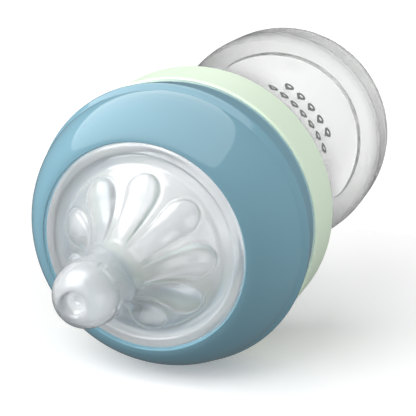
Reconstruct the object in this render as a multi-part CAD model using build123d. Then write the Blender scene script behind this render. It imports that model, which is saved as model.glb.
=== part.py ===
from build123d import *
import math
import os

# Wide-neck baby bottle, standing upright.
# Origin: centre of the foot, on the surface the bottle stands on. +Z up, -Y is the printed front.
# All lengths are millimetres.

# Bottle body
FOOT_R = 21.4
BASE_ROUND_R = 13.5
BELLY_R = FOOT_R + BASE_ROUND_R
BELLY_TOP_Z = 23.6
SIDE_CURVE = [(33.1, 36.4), (30.7, 49.5), (29.2, 64.0), (29.7, 76.5), (31.8, 84.5)]
SHOULDER_R = 33.8
SHOULDER_Z = 92.0
SHOULDER_ROUND_R = 6.0
NECK_R = 26.2
NECK_BORE_R = 24.2
RIM_Z = 128.1
WALL = 1.6
PUSH_UP_R = 17.0
PUSH_UP_DEPTH = 2.0

# Eye-shaped grip recess: a waisted surface about an axis set back from the bottle's own axis
GRIP_AXIS_SHIFT = 6.4
GRIP_WAIST_R = 33.5
GRIP_WAIST_Z = 61.5
GRIP_ARC_R = 53.4
GRIP_HALF_HEIGHT = 31.5

# Screw thread, right-hand, one start
LEAD = 5.0
NECK_THREAD_CREST_R = 27.5
NECK_THREAD_Z = 114.5
NECK_THREAD_TURNS = 1.5
RING_THREAD_CREST_R = 26.75
RING_THREAD_DROP = 1.75
RING_THREAD_TURNS = 1.25
THREAD_ROOT_SINK = 0.4

# Screw ring
LIP_R = 25.34
LIP_TOP_Z = 132.6
LIP_UNDER_Z = 130.2
SKIRT_BOTTOM_R = 35.2
SKIRT_BOTTOM_Z = 108.6
SKIRT_TOP_R = 36.0
SKIRT_TOP_Z = 117.2
DOME_R = 34.8
DOME_Z = 119.1
DOME_EXPONENT = 1.525
CREASE_R = 34.95
SEAT_BORE_R = 27.6
SLEEVE_BORE_R = 28.1
SLEEVE_R = 29.7
SLEEVE_BOTTOM_Z = 109.4
RING_WALL = 1.7

# Adapter ring
ADAPTER_BOTTOM_R = 36.1
ADAPTER_BOTTOM_Z = 94.0
ADAPTER_TOP_R = 35.7
ADAPTER_TOP_Z = 108.4
ADAPTER_WALL = 1.7
COLLAR_BORE_R = 26.9
COLLAR_R = 28.5
COLLAR_BOTTOM_Z = 98.4
ADAPTER_RIBS = 12
RIB_WIDTH = 1.2
RIB_BOTTOM_Z = 99.6

# Nipple
FLANGE_R = 27.2
FLANGE_BOTTOM_Z = 128.2
FLANGE_TOP_Z = 130.0
PLUG_R = 23.9
PLUG_BORE_R = 22.5
PLUG_BOTTOM_Z = 125.6
DISC_R = 25.1
DISC_TOP_Z = 132.4
DISC_INNER_R = 23.4
CHANNEL_R = 21.4
CHANNEL_Z = 131.9
TIP_Z = 166.2
TIP_RIM_R = 2.8
DIMPLE_Z = 164.9
ROOF_Z = 163.2
FEED_HOLE_R = 0.4

# Ink
INK = 0.12
DROP_R = 1.45
DROP_HEIGHT = 4.6
TICK_HEIGHT = 0.6
DIGIT_HEIGHT = 3.2
DIGIT_WIDTH = 1.9
STROKE = 0.5


def revolved(*edges):
    """Solid of revolution about Z of a closed outline drawn as (radius, height)."""
    return revolve(Plane.XZ * make_face(edges), Axis.Z)


def body_solid(grow, neck_r, top_z):
    """Solid inside the bottle's side surface moved outward by grow, with both grip recesses."""
    side = [(BELLY_R, BELLY_TOP_Z)] + SIDE_CURVE + [(SHOULDER_R, SHOULDER_Z)]
    side = [(r + grow, z) for r, z in side]
    base_r = BASE_ROUND_R + grow
    round_r = SHOULDER_ROUND_R + grow
    ledge_r = SHOULDER_R - SHOULDER_ROUND_R
    ledge_z = SHOULDER_Z + round_r
    body = revolved(
        Line((0, -grow), (FOOT_R, -grow)),
        CenterArc((FOOT_R, BASE_ROUND_R), base_r, -90, 90),
        Line((BELLY_R + grow, BASE_ROUND_R), side[0]),
        Spline(*side, tangents=((0, 1), (0, 1))),
        CenterArc((ledge_r, SHOULDER_Z), round_r, 0, 90),
        Polyline((ledge_r, ledge_z), (neck_r, ledge_z), (neck_r, top_z), (0, top_z), (0, -grow)),
    )
    for shift in (GRIP_AXIS_SHIFT, -GRIP_AXIS_SHIFT):
        body = body & Pos(0, shift, 0) * grip_envelope(grow)
    return body


def grip_envelope(grow):
    """Waisted solid of revolution that trims the body to its grip recess."""
    waist_r = GRIP_WAIST_R + grow
    low_z = GRIP_WAIST_Z - GRIP_HALF_HEIGHT
    high_z = GRIP_WAIST_Z + GRIP_HALF_HEIGHT
    end_r = waist_r + GRIP_ARC_R - math.sqrt(GRIP_ARC_R**2 - GRIP_HALF_HEIGHT**2)
    floor_z = -5.0
    ceiling_z = RIM_Z + 10.0
    return revolved(
        Polyline(
            (end_r, low_z),
            (end_r, floor_z),
            (0, floor_z),
            (0, ceiling_z),
            (end_r, ceiling_z),
            (end_r, high_z),
        ),
        ThreePointArc((end_r, high_z), (waist_r, GRIP_WAIST_Z), (end_r, low_z)),
    )


def thread_ridge(root_r, crest_r, start_z, turns, root_half, crest_half):
    """Helical ridge of trapezoid section that stands on root_r and reaches crest_r."""
    path = Helix(pitch=LEAD, height=turns * LEAD, radius=root_r, center=(0, 0, start_z))
    reach = crest_r - root_r
    section = Plane(origin=(root_r, 0, start_z), x_dir=(1, 0, 0), z_dir=(0, -1, 0)) * Polygon(
        (0, -root_half), (reach, -crest_half), (reach, crest_half), (0, root_half), align=None
    )
    return sweep(section, path, is_frenet=True)


def build_bottle():
    """Body with an even wall, pushed-up foot, threaded neck."""
    outside = body_solid(0, NECK_R, RIM_Z)
    ridge = thread_ridge(
        NECK_R - THREAD_ROOT_SINK, NECK_THREAD_CREST_R, NECK_THREAD_Z, NECK_THREAD_TURNS, 1.3, 0.6
    )
    push_up = revolved(
        Polyline((PUSH_UP_R, 0), (0, 0), (0, PUSH_UP_DEPTH)),
        Spline((0, PUSH_UP_DEPTH), (PUSH_UP_R, 0), tangents=((1, 0), (1, -0.7))),
    )
    cavity = build_cavity()
    dimple = Pos(0, 0, WALL) * push_up
    bottle = outside + ridge - (cavity - dimple) - push_up
    rim = bottle.edges().filter_by(GeomType.CIRCLE).filter_by_position(Axis.Z, RIM_Z - 0.01, RIM_Z + 0.01)
    return fillet(rim, 0.5)


def build_cavity():
    """Space inside the bottle, open at the rim."""
    return body_solid(-WALL, NECK_BORE_R, RIM_Z + 1.0)


def superellipse(r_end, z_end, r_base, z_base, steps=8):
    """Curve that starts upright at the base point and ends level at the end point."""
    power = 2 / DOME_EXPONENT
    points = []
    for i in range(steps + 1):
        t = math.radians(90 * i / steps)
        r = r_end + (r_base - r_end) * math.cos(t) ** power
        z = z_base + (z_end - z_base) * math.sin(t) ** power
        points.append((r, z))
    return points


def build_screw_ring():
    """Outer dome and inner threaded sleeve, joined round the nipple's opening."""
    outer_dome = superellipse(LIP_R + 0.3, LIP_TOP_Z, DOME_R, DOME_Z)
    inner_dome = superellipse(LIP_R, LIP_TOP_Z - RING_WALL, DOME_R - RING_WALL, DOME_Z)
    inner_dome = [p for p in inner_dome if p[0] > SLEEVE_R]
    skirt_round = 0.5
    shell = revolved(
        Polyline(
            (SKIRT_BOTTOM_R - RING_WALL, SKIRT_BOTTOM_Z),
            (SKIRT_BOTTOM_R, SKIRT_BOTTOM_Z),
            (SKIRT_TOP_R - 0.05, SKIRT_TOP_Z - skirt_round),
        ),
        Spline(
            (SKIRT_TOP_R - 0.05, SKIRT_TOP_Z - skirt_round),
            (SKIRT_TOP_R - 0.25, SKIRT_TOP_Z + skirt_round),
            tangents=((0.09, 1), (-0.55, 1)),
        ),
        Polyline((SKIRT_TOP_R - 0.25, SKIRT_TOP_Z + skirt_round), (CREASE_R, DOME_Z - 0.15), (DOME_R, DOME_Z)),
        Spline(*outer_dome),
        ThreePointArc(
            (LIP_R + 0.3, LIP_TOP_Z), (LIP_R + 0.09, LIP_TOP_Z - 0.09), (LIP_R, LIP_TOP_Z - 0.3)
        ),
        Polyline(
            (LIP_R, LIP_TOP_Z - 0.3),
            (LIP_R, LIP_UNDER_Z),
            (SEAT_BORE_R, LIP_UNDER_Z),
            (SEAT_BORE_R, LIP_UNDER_Z - 2.7),
            (SLEEVE_BORE_R, LIP_UNDER_Z - 3.2),
            (SLEEVE_BORE_R, SLEEVE_BOTTOM_Z),
            (SLEEVE_R, SLEEVE_BOTTOM_Z),
            (SLEEVE_R, inner_dome[-1][1] + 0.5),
            inner_dome[-1],
        ),
        Spline(*reversed(inner_dome)),
        Polyline(
            inner_dome[0],
            (SKIRT_TOP_R - RING_WALL, SKIRT_TOP_Z),
            (SKIRT_BOTTOM_R - RING_WALL, SKIRT_BOTTOM_Z),
        ),
    )
    ridge = thread_ridge(
        SLEEVE_BORE_R + THREAD_ROOT_SINK,
        RING_THREAD_CREST_R,
        NECK_THREAD_Z - RING_THREAD_DROP,
        RING_THREAD_TURNS,
        1.1,
        0.5,
    )
    return shell + ridge


def build_adapter_ring():
    """Tapered skirt hung from a flat web, with a collar round the neck and radial ribs."""
    bottom_in = ADAPTER_BOTTOM_R - ADAPTER_WALL
    top_in = ADAPTER_TOP_R - ADAPTER_WALL
    web_under_z = ADAPTER_TOP_Z - ADAPTER_WALL
    edge = 0.4
    ring = revolved(
        Polyline(
            (bottom_in, ADAPTER_BOTTOM_Z),
            (ADAPTER_BOTTOM_R - edge, ADAPTER_BOTTOM_Z),
            (ADAPTER_BOTTOM_R, ADAPTER_BOTTOM_Z + edge),
            (ADAPTER_TOP_R, ADAPTER_TOP_Z - edge),
            (ADAPTER_TOP_R - edge, ADAPTER_TOP_Z),
            (COLLAR_BORE_R, ADAPTER_TOP_Z),
            (COLLAR_BORE_R, COLLAR_BOTTOM_Z),
            (COLLAR_R, COLLAR_BOTTOM_Z),
            (COLLAR_R, web_under_z),
            (top_in, web_under_z),
            (bottom_in, ADAPTER_BOTTOM_Z),
        )
    )
    rib_length = top_in - COLLAR_R + 0.6
    rib_height = ADAPTER_TOP_Z - RIB_BOTTOM_Z - 0.5
    rib = Pos((COLLAR_R + top_in) / 2, 0, RIB_BOTTOM_Z + rib_height / 2) * Box(rib_length, RIB_WIDTH, rib_height)
    for i in range(ADAPTER_RIBS):
        ring = ring + Rot(0, 0, 360 * i / ADAPTER_RIBS) * rib
    return ring


def build_nipple():
    """Silicone dome and teat with a clamped flange, a plug in the neck and a feed hole."""
    outside = [
        (CHANNEL_R, CHANNEL_Z), (19.4, 133.0), (15.5, 136.0), (10.6, 140.7), (7.4, 146.6),
        (6.3, 151.0), (6.8, 155.5), (7.25, 159.4), (6.6, 162.8), (5.0, 165.2), (TIP_RIM_R, TIP_Z),
    ]
    inside = [
        (0, ROOF_Z), (3.4, 162.5), (5.4, 159.4), (5.0, 155.2), (4.6, 151.2), (5.7, 146.8),
        (8.7, 140.6), (13.0, 135.7), (17.0, 132.4), (20.2, 129.4),
    ]
    disc_edge = 0.5
    outline = make_face([
        Polyline(
            (0, PLUG_BOTTOM_Z),
            (PLUG_R, PLUG_BOTTOM_Z),
            (PLUG_R, FLANGE_BOTTOM_Z),
            (FLANGE_R, FLANGE_BOTTOM_Z),
            (FLANGE_R, FLANGE_TOP_Z),
            (DISC_R, FLANGE_TOP_Z),
            (DISC_R, DISC_TOP_Z - disc_edge),
        ),
        CenterArc((DISC_R - disc_edge, DISC_TOP_Z - disc_edge), disc_edge, 0, 90),
        Polyline(
            (DISC_R - disc_edge, DISC_TOP_Z),
            (DISC_INNER_R, DISC_TOP_Z),
            (CHANNEL_R + 0.8, CHANNEL_Z),
            outside[0],
        ),
        Spline(*outside),
        Line((TIP_RIM_R, TIP_Z), (0, DIMPLE_Z)),
        Line((0, DIMPLE_Z), (0, PLUG_BOTTOM_Z)),
    ])
    hollow = make_face([
        Spline(*inside),
        Polyline(inside[-1], (PLUG_BORE_R, FLANGE_BOTTOM_Z - 0.6), (PLUG_BORE_R, PLUG_BOTTOM_Z - 1)),
        Polyline((PLUG_BORE_R, PLUG_BOTTOM_Z - 1), (0, PLUG_BOTTOM_Z - 1), inside[0]),
    ])
    feed_hole = Pos(0, TIP_Z) * Rectangle(2 * FEED_HOLE_R, 10)
    return revolve(Plane.XZ * (outline - hollow - feed_hole), Axis.Z)


def drop():
    """Drop with its tip up, centred on its own height."""
    tip = DROP_HEIGHT - DROP_R
    angle = math.acos(DROP_R / tip)
    side = (DROP_R * math.sin(angle), DROP_R * math.cos(angle))
    left = (-side[0], side[1])
    face = make_face([Line(side, (0, tip)), Line((0, tip), left), ThreePointArc(left, (0, -DROP_R), side)])
    return Pos(0, DROP_R - DROP_HEIGHT / 2) * (face - Circle(DROP_R * 0.42))


def drop_row(count, spacing, z):
    """Row of drops centred on the front."""
    return [Pos((i - (count - 1) / 2) * spacing, z) * drop() for i in range(count)]


SEGMENTS = {
    "0": "abcdef", "1": "bc", "2": "abged", "3": "abgcd", "4": "fgbc",
    "5": "afgcd", "6": "afgedc", "7": "abc", "8": "abcdefg", "9": "abcdfg",
}


def digit(character):
    """Numeral made of straight strokes."""
    w = DIGIT_WIDTH / 2
    h = DIGIT_HEIGHT / 2
    ends = {
        "a": ((-w, h), (w, h)), "b": ((w, h), (w, 0)), "c": ((w, 0), (w, -h)), "d": ((-w, -h), (w, -h)),
        "e": ((-w, 0), (-w, -h)), "f": ((-w, h), (-w, 0)), "g": ((-w, 0), (w, 0)),
    }
    shape = Sketch()
    for name in SEGMENTS[character]:
        start, end = ends[name]
        across = abs(end[0] - start[0]) + STROKE
        up = abs(end[1] - start[1]) + STROKE
        shape += Pos((start[0] + end[0]) / 2, (start[1] + end[1]) / 2) * Rectangle(across, up)
    return shape


def fill_heights(cavity, step=4.0):
    """Heights of the surface of the milk, as (volume in ml, height)."""
    table = [(0.0, WALL)]
    z = WALL + step
    while z < SHOULDER_Z:
        slab = Pos(0, 0, z - step / 2) * Box(100, 100, step)
        table.append((table[-1][0] + (cavity & slab).volume / 1000, z))
        z += step
    return table


def height_of(ml, table):
    """Height that ml reaches, between the two nearest rows of the table."""
    for low, high in zip(table, table[1:]):
        if low[0] <= ml <= high[0]:
            part = (ml - low[0]) / (high[0] - low[0])
            return low[1] + part * (high[1] - low[1])
    raise ValueError("volume above the shoulder")


def scale_sketch(cavity):
    """Ticks every 20 ml and a number every 60 ml."""
    table = fill_heights(cavity)
    shapes = []
    for ml in range(20, 241, 20):
        numbered = ml % 60 == 0
        width = 9.0 if numbered else 5.0
        z = height_of(ml, table)
        shapes.append(Pos(width / 2 - 7.0, z) * Rectangle(width, TICK_HEIGHT))
        if numbered:
            for i, character in enumerate(str(ml)):
                shapes.append(Pos(4.6 + i * (DIGIT_WIDTH + 1.0), z) * digit(character))
    return shapes


def ink_film(sketches, plane):
    """Thin ink on the bottle's side, under the given shapes seen square-on."""
    film = body_solid(INK, NECK_R, RIM_Z) - body_solid(0, NECK_R, RIM_Z)
    marks = [film & extrude(plane * shape, 30) for shape in sketches]
    return Compound(children=[solid for mark in marks for solid in mark.solids()])


def main():
    """Write one STEP file for each piece."""
    os.makedirs("parts", exist_ok=True)
    front = Plane(origin=(0, -15, 0), x_dir=(1, 0, 0), z_dir=(0, -1, 0))
    back = Plane(origin=(0, 15, 0), x_dir=(-1, 0, 0), z_dir=(0, 1, 0))
    export_step(build_bottle(), "parts/bottle.step")
    export_step(build_adapter_ring(), "parts/adapter_ring.step")
    export_step(build_screw_ring(), "parts/screw_ring.step")
    export_step(build_nipple(), "parts/nipple.step")
    export_step(ink_film(drop_row(7, 3.7, 64.6) + drop_row(5, 4.3, 56.5), front), "parts/front_print.step")
    export_step(ink_film(scale_sketch(build_cavity()), back), "parts/volume_scale.step")


main()
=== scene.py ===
import math

import bpy
import numpy as np
from mathutils import Matrix, Vector


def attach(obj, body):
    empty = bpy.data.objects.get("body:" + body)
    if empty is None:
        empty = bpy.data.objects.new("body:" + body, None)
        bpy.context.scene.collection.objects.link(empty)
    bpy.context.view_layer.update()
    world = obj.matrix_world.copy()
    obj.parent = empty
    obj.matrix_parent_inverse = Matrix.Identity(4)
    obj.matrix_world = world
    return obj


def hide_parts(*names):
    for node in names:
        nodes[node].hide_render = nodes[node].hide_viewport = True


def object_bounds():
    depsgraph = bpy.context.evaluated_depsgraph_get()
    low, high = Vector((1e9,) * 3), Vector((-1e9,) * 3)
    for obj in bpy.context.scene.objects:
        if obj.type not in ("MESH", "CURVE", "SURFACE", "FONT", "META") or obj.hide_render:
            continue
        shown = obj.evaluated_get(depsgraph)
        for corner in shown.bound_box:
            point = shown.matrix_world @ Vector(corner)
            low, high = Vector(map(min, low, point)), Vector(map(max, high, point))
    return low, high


# A wide-neck baby bottle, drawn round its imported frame. Metres; +Z along the bottle, -Y its printed front.
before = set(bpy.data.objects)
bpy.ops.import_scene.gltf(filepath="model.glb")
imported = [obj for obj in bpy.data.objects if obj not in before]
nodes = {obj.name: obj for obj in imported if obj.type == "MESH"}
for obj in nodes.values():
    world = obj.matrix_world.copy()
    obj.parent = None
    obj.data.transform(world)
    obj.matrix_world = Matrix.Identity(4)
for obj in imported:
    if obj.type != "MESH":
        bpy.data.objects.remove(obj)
cad_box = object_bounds()
scene = bpy.context.scene
MM = 0.001

# The bottle is shown lying on a backdrop: BACKDROP_UP points out of that surface, AXIS_UP along the bottle
BACKDROP_UP = Vector((0.7254, -0.6884, 0.0)).normalized()
AXIS_UP = Vector((0.0, 0.0, 1.0))
BACKDROP_SIDE = AXIS_UP.cross(BACKDROP_UP)


# ---------------------------------------------------------------- camera
def add_camera():
    """Camera over the nipple, looking down the bottle from its printed side."""
    data = bpy.data.cameras.new("camera")
    data.sensor_width = 36.0
    data.lens = 85.25
    data.shift_x = 0.0154
    data.shift_y = -0.018
    data.clip_start = 0.01
    data.clip_end = 20.0
    camera = bpy.data.objects.new("camera", data)
    right = Vector((-0.64460, -0.67924, -0.35101))
    up = Vector((0.76457, -0.57533, -0.29073))
    back = right.cross(up)
    turn = Matrix((right, up, back)).transposed()
    camera.matrix_world = Matrix.Translation((-0.00145, -0.11979, 0.32704)) @ turn.to_4x4()
    scene.collection.objects.link(camera)
    scene.camera = camera


# ---------------------------------------------------------------- materials
class Shader:
    """A node material with one Principled shader and short ways to add to it."""

    def __init__(self, name):
        self.material = bpy.data.materials.new(name)
        self.material.use_nodes = True
        self.tree = self.material.node_tree
        self.bsdf = self.tree.nodes["Principled BSDF"]
        self.output = self.tree.nodes["Material Output"]

    def link(self, a, b):
        self.tree.links.new(a, b)

    def set(self, **values):
        """Plain numbers and colours on the Principled shader, with _ for each space in a name."""
        for key, value in values.items():
            self.bsdf.inputs[key.replace("_", " ")].default_value = value

    def noise(self, scale, detail):
        place = self.tree.nodes.new("ShaderNodeTexCoord")
        noise = self.tree.nodes.new("ShaderNodeTexNoise")
        noise.inputs["Scale"].default_value = scale
        noise.inputs["Detail"].default_value = detail
        self.link(place.outputs["Object"], noise.inputs["Vector"])
        return noise.outputs["Fac"]

    def spread(self, value, low, high):
        """Maps 0..1 to low..high."""
        ranged = self.tree.nodes.new("ShaderNodeMapRange")
        self.link(value, ranged.inputs["Value"])
        ranged.inputs["To Min"].default_value = low
        ranged.inputs["To Max"].default_value = high
        return ranged.outputs["Result"]

    def two_colours(self, value, first, second):
        mix = self.tree.nodes.new("ShaderNodeMix")
        mix.data_type = "RGBA"
        # a Mix node's colour sockets share their names with its others, so they are taken by number
        colour_a, colour_b = mix.inputs[6], mix.inputs[7]
        self.link(value, mix.inputs["Factor"])
        colour_a.default_value = (*first, 1)
        colour_b.default_value = (*second, 1)
        return mix.outputs[2]

    def bump(self, value, distance):
        bump = self.tree.nodes.new("ShaderNodeBump")
        bump.inputs["Distance"].default_value = distance
        bump.inputs["Strength"].default_value = 1.0
        self.link(value, bump.inputs["Height"])
        self.link(bump.outputs["Normal"], self.bsdf.inputs["Normal"])

    def absorb(self, colour, density):
        """Tints what is seen through the piece by how thick it is there."""
        volume = self.tree.nodes.new("ShaderNodeVolumeAbsorption")
        volume.inputs["Color"].default_value = (*colour, 1)
        volume.inputs["Density"].default_value = density
        self.link(volume.outputs["Volume"], self.output.inputs["Volume"])


def moulded_plastic(name, colour, shade, roughness, grain_depth):
    """Opaque moulded plastic: faint mottling in colour and gloss, and a fine grain."""
    s = Shader(name)
    mottle = s.noise(55.0, 3.0)
    grain = s.noise(2600.0, 2.0)
    s.link(s.two_colours(s.spread(mottle, 0.2, 0.8), colour, shade), s.bsdf.inputs["Base Color"])
    s.link(s.spread(mottle, roughness * 0.85, roughness * 1.2), s.bsdf.inputs["Roughness"])
    s.bump(grain, grain_depth)
    s.set(IOR=1.49)
    return s.material


def silicone():
    """Soft see-through silicone: satin surface, milky and grey where it is thick."""
    s = Shader("silicone")
    mottle = s.noise(90.0, 2.0)
    s.link(s.spread(mottle, 0.14, 0.2), s.bsdf.inputs["Roughness"])
    s.set(Base_Color=(0.93, 0.945, 0.955, 1), IOR=1.41, Transmission_Weight=0.7)
    s.set(Coat_Weight=0.6, Coat_Roughness=0.1)
    s.absorb((0.80, 0.83, 0.85), 160.0)
    return s.material


def clear_plastic():
    """Clear polypropylene: a little milky, greyer where the wall is seen edge-on."""
    s = Shader("clear_plastic")
    mottle = s.noise(40.0, 2.0)
    s.link(s.spread(mottle, 0.14, 0.2), s.bsdf.inputs["Roughness"])
    s.set(Base_Color=(0.985, 0.985, 0.985, 1), IOR=1.4, Transmission_Weight=0.95)
    s.absorb((0.6, 0.61, 0.62), 32.0)
    return s.material


def ink():
    """Matt grey printing ink."""
    s = Shader("grey_ink")
    mottle = s.noise(900.0, 3.0)
    s.link(s.two_colours(mottle, (0.17, 0.175, 0.175), (0.23, 0.235, 0.235)), s.bsdf.inputs["Base Color"])
    s.set(Roughness=0.55)
    return s.material


def paper(name, glow):
    """White paper with a little glow of its own, see-through from behind."""
    s = Shader(name)
    s.set(Base_Color=(0.9, 0.9, 0.9, 1), Roughness=0.9, Specular_IOR_Level=0.0)
    s.set(Emission_Color=(1, 1, 1, 1), Emission_Strength=glow)
    mix = s.tree.nodes.new("ShaderNodeMixShader")
    clear = s.tree.nodes.new("ShaderNodeBsdfTransparent")
    side = s.tree.nodes.new("ShaderNodeNewGeometry")
    s.link(side.outputs["Backfacing"], mix.inputs["Fac"])
    s.link(s.bsdf.outputs["BSDF"], mix.inputs[1])
    s.link(clear.outputs["BSDF"], mix.inputs[2])
    s.link(mix.outputs["Shader"], s.output.inputs["Surface"])
    return s.material


def finish_node(node, material):
    """Gives a CAD node its material."""
    obj = nodes[node]
    obj.data.materials.clear()
    obj.data.materials.append(material)


# ---------------------------------------------------------------- nipple, in mm until the mesh is made
AROUND = 360
PETALS = 9
PETAL_PHASE = math.radians(-91.5)
PETAL_HALF_ANGLE = math.radians(15.6)
# middle of a petal's round end, where its stem fades out, and the radii between which the dome is shaped
PETAL_END_R = 15.1
PETAL_STEM_R = 7.0
PETAL_ZONE = (7.2, 21.0)
CHANNEL_Z = 131.8
PETAL_RISE = 1.9
GROOVE_DEPTH = 0.25
GROOVE_WIDTH = 0.35

# sections as (radius, height): over the flange to the tip, back down the inside, and under the flange
NIPPLE_OUTSIDE = [
    (25.1, 130.3), (25.1, 131.6), (24.9, 132.05), (24.4, 132.35), (23.6, 132.45), (22.9, 132.4),
    (22.4, 132.1), (21.6, 131.9), (20.6, 131.9), (20.0, 132.2), (19.5, 132.9), (18.9, 133.6),
    (17.5, 134.6), (15.5, 136.0), (13.0, 138.0), (10.6, 140.7), (8.7, 144.0), (7.3, 147.2),
    (6.4, 150.0), (6.35, 152.5), (6.75, 155.3), (7.2, 158.0), (7.2, 160.6), (6.6, 162.9),
    (5.5, 164.7), (4.2, 165.8), (3.4, 166.15), (2.85, 166.1), (2.5, 165.7), (2.35, 165.0),
    (2.0, 164.6), (1.4, 164.5), (1.0, 164.35), (0.6, 164.3), (0.4, 164.1),
]
NIPPLE_INSIDE = [
    (0.4, 163.3), (2.4, 163.0), (4.4, 161.9), (5.4, 159.6), (5.3, 157.0), (4.9, 154.2),
    (4.7, 151.4), (5.7, 146.8), (7.3, 143.2), (9.4, 139.6), (12.0, 136.6), (14.8, 134.2),
    (17.2, 132.4), (19.0, 130.6), (20.4, 129.0), (22.5, 127.6), (22.5, 125.7),
]
NIPPLE_UNDERSIDE = [
    (22.6, 125.6), (23.8, 125.6), (23.9, 125.7), (23.9, 128.1), (24.0, 128.2), (27.1, 128.2),
    (27.2, 128.3), (27.2, 129.9), (27.1, 130.0), (25.2, 130.0), (25.1, 130.1),
]


def smooth_curve(points, per_span):
    """Catmull-Rom curve through the points, with per_span steps from each to the next."""
    p = np.array([points[0]] + list(points) + [points[-1]], float)
    out = []
    for i in range(1, len(p) - 2):
        slope = p[i + 1] - p[i - 1]
        bend = 2 * p[i - 1] - 5 * p[i] + 4 * p[i + 1] - p[i + 2]
        twist = 3 * p[i] - p[i - 1] - 3 * p[i + 1] + p[i + 2]
        for k in range(per_span):
            t = k / per_span
            out.append(0.5 * (2 * p[i] + slope * t + bend * t * t + twist * t**3))
    out.append(p[-2])
    return np.array(out)


def petal_height(r, angle):
    """Height of the petals above the dome, at radius r and angle from a petal's middle.

    A petal is swept by a circle whose centre moves out along the petal's middle, growing with its radius.
    """
    x = r * np.cos(angle)
    y = np.abs(r * np.sin(angle))
    centre = np.clip((x * x + y * y) / np.maximum(x, 1e-6), 0.1, PETAL_END_R)
    spread = np.sqrt((x - centre) ** 2 + y * y) / (centre * math.sin(PETAL_HALF_ANGLE))
    fade = np.clip((centre - PETAL_STEM_R) / (PETAL_END_R - PETAL_STEM_R), 0, 1) ** 0.8
    pillow = np.sqrt(np.clip(1 - spread**2, 0, None))
    gap = (spread - 1) * PETAL_END_R * math.sin(PETAL_HALF_ANGLE)
    groove = np.exp(-((gap / GROOVE_WIDTH) ** 2))
    return fade * (PETAL_RISE * pillow - GROOVE_DEPTH * groove)


def nipple_rings():
    """A ring of points for each point of the section, with the petals raised on the dome."""
    outside = smooth_curve(NIPPLE_OUTSIDE, 6)
    section = np.vstack([outside, smooth_curve(NIPPLE_INSIDE, 3), np.array(NIPPLE_UNDERSIDE)])
    tangent = np.gradient(section, axis=0)
    normal = np.stack([tangent[:, 1], -tangent[:, 0]], 1)
    normal /= np.linalg.norm(normal, axis=1)[:, None]
    angles = np.arange(AROUND) * 2 * math.pi / AROUND
    pitch = 2 * math.pi / PETALS
    from_petal = (angles - PETAL_PHASE + pitch / 2) % pitch - pitch / 2
    rings = []
    for i, (r, z) in enumerate(section):
        on_dome = i < len(outside) and PETAL_ZONE[0] < r < PETAL_ZONE[1] and z > CHANNEL_Z
        rise = petal_height(r, from_petal) if on_dome else np.zeros(AROUND)
        ring_r = r + normal[i, 0] * rise
        ring_z = z + normal[i, 1] * rise
        rings.append(np.stack([ring_r * np.cos(angles), ring_r * np.sin(angles), ring_z], 1))
    return rings


def build_nipple():
    """The silicone nipple as one closed shell, open below and at the feed hole."""
    rings = nipple_rings()
    faces = []
    for i in range(len(rings)):
        j = (i + 1) % len(rings)
        for k in range(AROUND):
            m = (k + 1) % AROUND
            faces.append((i * AROUND + k, i * AROUND + m, j * AROUND + m, j * AROUND + k))
    mesh = bpy.data.meshes.new("nipple_silicone")
    mesh.from_pydata((np.vstack(rings) * MM).tolist(), [], faces)
    mesh.validate()
    mesh.update()
    for face in mesh.polygons:
        face.use_smooth = True
    mesh.materials.append(silicone())
    obj = bpy.data.objects.new("nipple_silicone", mesh)
    scene.collection.objects.link(obj)
    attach(obj, "nipple")
    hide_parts("nipple")
    return obj


# ---------------------------------------------------------------- stage and light
SHEET_SIZE = 16.0
BACKDROP_GAP = 0.0002
MIDDLE = (cad_box[0] + cad_box[1]) / 2


def backdrop_direction(up, side, along):
    """Unit vector from parts out of the backdrop, across it and along the bottle."""
    return (BACKDROP_UP * up + BACKDROP_SIDE * side + AXIS_UP * along).normalized()


def sheet(name, centre, normal, up, material):
    """Square sheet of paper at centre that faces along normal and shows only to the camera."""
    side = up.cross(normal)
    half = SHEET_SIZE / 2
    signs = ((-1, -1), (1, -1), (1, 1), (-1, 1))
    corners = [centre + side * (across * half) + up * (along * half) for across, along in signs]
    mesh = bpy.data.meshes.new(name)
    mesh.from_pydata([tuple(corner) for corner in corners], [], [(0, 1, 2, 3)])
    mesh.update()
    if mesh.polygons[0].normal.dot(normal) < 0:
        mesh.flip_normals()
    mesh.materials.append(material)
    obj = bpy.data.objects.new(name, mesh)
    scene.collection.objects.link(obj)
    obj.visible_glossy = False
    obj.visible_diffuse = False
    return obj


def group(name, objects):
    """Collection that names the objects a lamp lights, or that stop its light."""
    made = bpy.data.collections.new(name)
    for obj in objects:
        made.objects.link(obj)
    return made


def add_lamp(name, data, direction, receivers, blockers):
    """Lamp one metre from the bottle's middle that faces it from the given direction."""
    toward = backdrop_direction(*direction)
    obj = bpy.data.objects.new(name, data)
    obj.location = MIDDLE + toward
    obj.rotation_mode = "QUATERNION"
    obj.rotation_quaternion = (-toward).to_track_quat("-Z", "Y")
    obj.light_linking.receiver_collection = receivers
    obj.light_linking.blocker_collection = blockers
    scene.collection.objects.link(obj)
    return obj


def soft_lamp(name, direction, size, power, receivers, blockers, glints=False):
    """Square lamp, mirrored in glossy pieces only if it glints."""
    data = bpy.data.lights.new(name, "AREA")
    data.size = size
    data.energy = power
    lamp = add_lamp(name, data, direction, receivers, blockers)
    lamp.visible_camera = False
    lamp.visible_glossy = glints


def paper_lamp(name, direction, strength, receivers, blockers):
    """Broad sun for the papers alone, so the shadow on them is set by itself."""
    data = bpy.data.lights.new(name, "SUN")
    data.energy = strength
    data.angle = math.radians(45)
    add_lamp(name, data, direction, receivers, blockers)


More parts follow.
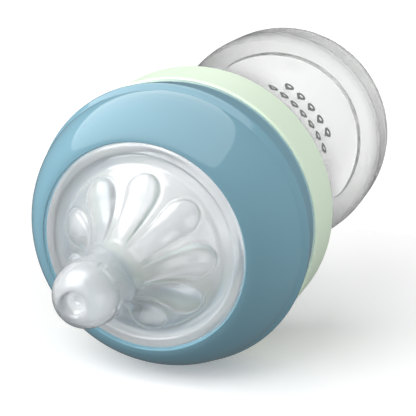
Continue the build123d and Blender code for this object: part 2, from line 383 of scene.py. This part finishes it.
def add_mirrored_panel(rings):
    """The long oval panel whose reflection lies on the glossy ring."""
    data = bpy.data.lights.new("reflected_panel", "AREA")
    data.shape = "ELLIPSE"
    data.size = 2.75
    data.size_y = 3.9
    data.energy = 48.0
    panel = bpy.data.objects.new("reflected_panel", data)
    panel.location = MIDDLE + AXIS_UP * 0.5 + BACKDROP_SIDE * 0.79 + BACKDROP_UP * 0.8
    panel.rotation_mode = "QUATERNION"
    panel.rotation_quaternion = (-BACKDROP_UP).to_track_quat("-Z", "Y")
    panel.visible_camera = False
    panel.visible_diffuse = False
    panel.light_linking.receiver_collection = rings
    scene.collection.objects.link(panel)


def add_papers():
    """The backdrop that the bottle lies on and the floor that its foot stands on."""
    reach = max(cad_box[1].x, -cad_box[0].x) + BACKDROP_GAP
    under = MIDDLE - BACKDROP_UP * reach
    backdrop = sheet("backdrop", under, BACKDROP_UP, AXIS_UP, paper("backdrop_paper", 0.25))
    floor = sheet("floor", Vector((0, 0, 0)), AXIS_UP, BACKDROP_UP, paper("floor_paper", 0.4))
    floor.visible_shadow = False
    return [backdrop, floor]


def add_lamps(nipple, papers):
    """Separate lamps for the plastic pieces, the nipple and the papers."""
    # the bottle and the nipple are clear, so only the rings stop light
    rings = group("rings", [nodes["screw_ring"], nodes["adapter_ring"]])
    nothing = group("nothing_stops", [bpy.data.objects.new("nothing", None)])
    plastic_names = ("bottle", "adapter_ring", "screw_ring", "front_print", "volume_scale")
    plastic = group("plastic", [nodes[name] for name in plastic_names])
    silicone_only = group("silicone_only", [nipple])
    paper_only = group("papers", papers)
    # the papers have their own lamps, so no second light reaches them through the clear bottle
    nodes["bottle"].visible_diffuse = False
    soft_lamp("softbox", (0.75, 0.55, 0.35), 0.9, 9.5, plastic, rings)
    soft_lamp("left_light", (0.5, 0.85, 0.1), 0.9, 5.0, plastic, rings)
    soft_lamp("top_light", (0.8, -0.5, 0.0), 0.9, 4.9, plastic, rings)
    soft_lamp("front_fill", (0.0, 0.6, 0.8), 0.9, 6.2, plastic, nothing)
    soft_lamp("right_fill", (0.0, -1.0, 0.0), 0.9, 6.3, plastic, nothing)
    soft_lamp("nipple_key", (0.8, 0.4, 0.4), 1.0, 17.0, silicone_only, nothing, glints=True)
    soft_lamp("nipple_side", (0.0, -0.85, 0.5), 0.6, 2.5, silicone_only, nothing, glints=True)
    soft_lamp("nipple_fill", (0.3, 0.65, 0.7), 0.9, 2.6, silicone_only, nothing)
    paper_lamp("paper_left", (0.8, 0.3, 0.5), 1.35, paper_only, rings)
    paper_lamp("paper_right", (0.7, -0.3, 0.5), 0.95, paper_only, rings)
    paper_lamp("paper_front", (0.4, 0.4, 0.8), 1.35, paper_only, rings)
    add_mirrored_panel(rings)


def add_world():
    """Dim even light from all round, with colours shown as they are."""
    world = bpy.data.worlds.new("studio")
    world.use_nodes = True
    background = world.node_tree.nodes["Background"]
    background.inputs["Color"].default_value = (1, 1, 1, 1)
    background.inputs["Strength"].default_value = 0.12
    scene.world = world
    scene.view_settings.view_transform = "Standard"
    scene.view_settings.look = "None"


add_camera()
green = moulded_plastic("pale_green_plastic", (0.71, 0.835, 0.675), (0.69, 0.815, 0.655), 0.32, 0.00001)
blue = moulded_plastic("blue_plastic", (0.195, 0.36, 0.44), (0.185, 0.35, 0.43), 0.06, 0.000002)
grey = ink()
finish_node("bottle", clear_plastic())
finish_node("adapter_ring", green)
finish_node("screw_ring", blue)
finish_node("front_print", grey)
finish_node("volume_scale", grey)
add_lamps(build_nipple(), add_papers())
add_world()
